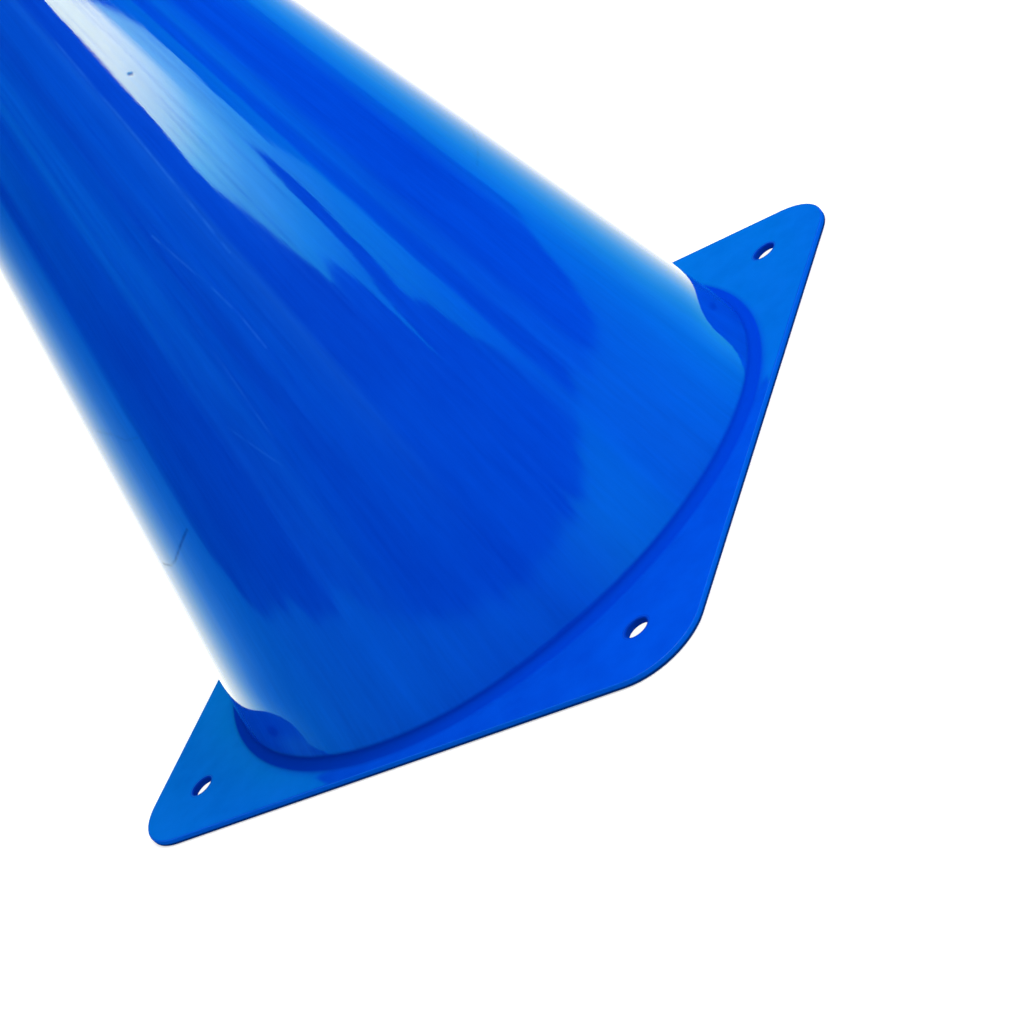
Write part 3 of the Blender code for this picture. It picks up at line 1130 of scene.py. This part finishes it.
def window_card(name, corners, stops, side_stops=None):
    """A glowing card with corners of (bearing, elevation) whose glow follows the elevation."""
    mesh = bpy.data.meshes.new(name)
    points = [towards(bearing, elevation) * WINDOW_DISTANCE for bearing, elevation in corners]
    mesh.from_pydata(points, [], [tuple(range(len(points)))])
    card = bpy.data.objects.new(name, mesh)
    bpy.context.scene.collection.objects.link(card)
    material = bpy.data.materials.new(name + "_glow")
    material.use_nodes = True
    tree = material.node_tree
    tree.nodes.clear()
    place = tree.nodes.new("ShaderNodeTexCoord").outputs["Object"]
    bearing, elevation = room_angles(tree, place)
    colour = ramp_node(tree, elevation, stops)
    if side_stops:
        to_side = range_node(tree, bearing, *WINDOW_SIDE, 0.0, 1.0, smooth=True)
        colour = colour_mix(tree, to_side, colour, ramp_node(tree, elevation, side_stops))
    blind = fine_streaks(tree, bearing, elevation, BLIND_PER_DEGREE, BLIND_UP_PER_DEGREE, BLIND_NOISE)
    colour = scale_node(tree, colour, range_node(tree, blind, *BLIND_CONTRAST, *BLIND_RANGE))
    glow = tree.nodes.new("ShaderNodeEmission")
    link(tree, colour, glow.inputs["Color"])
    result = tree.nodes.new("ShaderNodeOutputMaterial")
    link(tree, glow.outputs[0], result.inputs["Surface"])
    card.data.materials.append(material)
    card.visible_camera = False
    card.visible_diffuse = False
    card.visible_shadow = False
    return card


# %% The window and its panes
MAIN_WINDOW = [
    # bearing, elevation
    (13.5, 27), (12.5, 25), (11.1, 23.0), (10.2, 20.7), (9.3, 18.4), (7.5, 17.7), (8.0, 16.9),
    (11.4, 16.1), (14.0, 15.1), (16.6, 13.7), (17.9, 13.1), (21.8, 13.3), (25.7, 13.0), (27.5, 12.2),
    (28.2, 10.7), (28.9, 9.2), (30.0, 10.6), (31.4, 11.5), (34.0, 12.0), (35.5, 13.3), (36.4, 15.0),
    (38.0, 15.5), (40.6, 14.8), (46.3, 14.3), (46.5, 18.2), (43.4, 19.1), (36.9, 20.3), (28.2, 21.6),
    (21.0, 24.0), (17.5, 27),
]
SIDE_WINDOW = [
    # bearing, elevation
    (40.6, 14.8), (41.5, 13.8), (40.9, 12.6), (40.0, 11.5), (38.6, 10.6), (38.5, 10.0), (42.4, 9.4),
    (44.3, 7.9), (48.5, 6.5), (51.0, 5.3), (52.6, 3.8), (53.0, 5.1), (53.7, 6.9), (53.2, 9.1),
    (53.4, 10.8), (51.9, 12.7), (47.3, 14.3), (46.3, 14.3),
]
MAIN_GLOW = [
    # elevation, red, green, blue
    (9, 0.02, 1.2, 1.6), (12, 0.06, 1.7, 2.0), (14, 0.2, 3.2, 2.6), (16, 0.8, 4.6, 3.2),
    (17.5, 2.2, 7.8, 4.6), (19, 8.5, 12.3, 5.8), (20.5, 14.0, 16.0, 6.5), (23, 16.0, 18.0, 7.0),
]
MAIN_SIDE_GLOW = [
    # elevation, red, green, blue
    (9, 0.02, 1.2, 1.6), (12, 0.06, 1.7, 2.0), (14, 0.2, 3.0, 2.4), (16, 0.7, 4.8, 3.2),
    (18, 2.2, 6.8, 4.4), (20, 3.2, 8.0, 4.6), (23, 4.0, 9.0, 5.0),
]
SIDE_GLOW = [
    # elevation, red, green, blue
    (3, 0.01, 0.4, 0.6), (6, 0.01, 0.7, 1.0), (8, 0.02, 1.2, 1.6), (10, 0.05, 1.8, 1.9),
    (12, 0.08, 2.3, 2.1), (14, 0.28, 2.9, 2.6), (16, 0.5, 3.6, 2.8),
]
main_window = window_card("main_window", MAIN_WINDOW, MAIN_GLOW, MAIN_SIDE_GLOW)
side_window = window_card("side_window", SIDE_WINDOW, SIDE_GLOW)
print("window corners:", len(MAIN_WINDOW), "and", len(SIDE_WINDOW))

# %% [markdown]
# ## Camera
#
# The photograph looks down on the foot from close by and is turned by about forty degrees, so
# the cone lies across the picture and its mouth is outside it.

# %% The camera
CAMERA_AIM = Vector((3.3 * MM, 2.7 * MM, -1.8 * MM))
CAMERA_DISTANCE = 0.4845
CAMERA_AZIMUTH = -50.16
CAMERA_ELEVATION = 24.10
CAMERA_ROLL = 41.51
CAMERA_LENS = 83.41
CAMERA_CLIP = (0.01, 50)


def make_camera():
    data = bpy.data.cameras.new("photograph_camera")
    data.lens = CAMERA_LENS
    data.clip_start, data.clip_end = CAMERA_CLIP
    camera = bpy.data.objects.new("photograph_camera", data)
    back = compass(CAMERA_AZIMUTH, CAMERA_ELEVATION)
    camera.location = CAMERA_AIM + back * CAMERA_DISTANCE
    upright = (-back).to_track_quat("-Z", "Y")
    camera.rotation_mode = "QUATERNION"
    camera.rotation_quaternion = upright @ Quaternion((0, 0, 1), math.radians(-CAMERA_ROLL))
    bpy.context.scene.collection.objects.link(camera)
    bpy.context.scene.camera = camera


make_camera()
bpy.context.scene.view_settings.view_transform = "Standard"
print("camera stands", CAMERA_DISTANCE, "m from its aim")

# %% [markdown]
# ## Hand the pieces over
#
# The moulding rides on the model's one body and stands for its three solids.

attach(moulding, "root")
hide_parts("base_flange", "cone_wall", "top_collar")
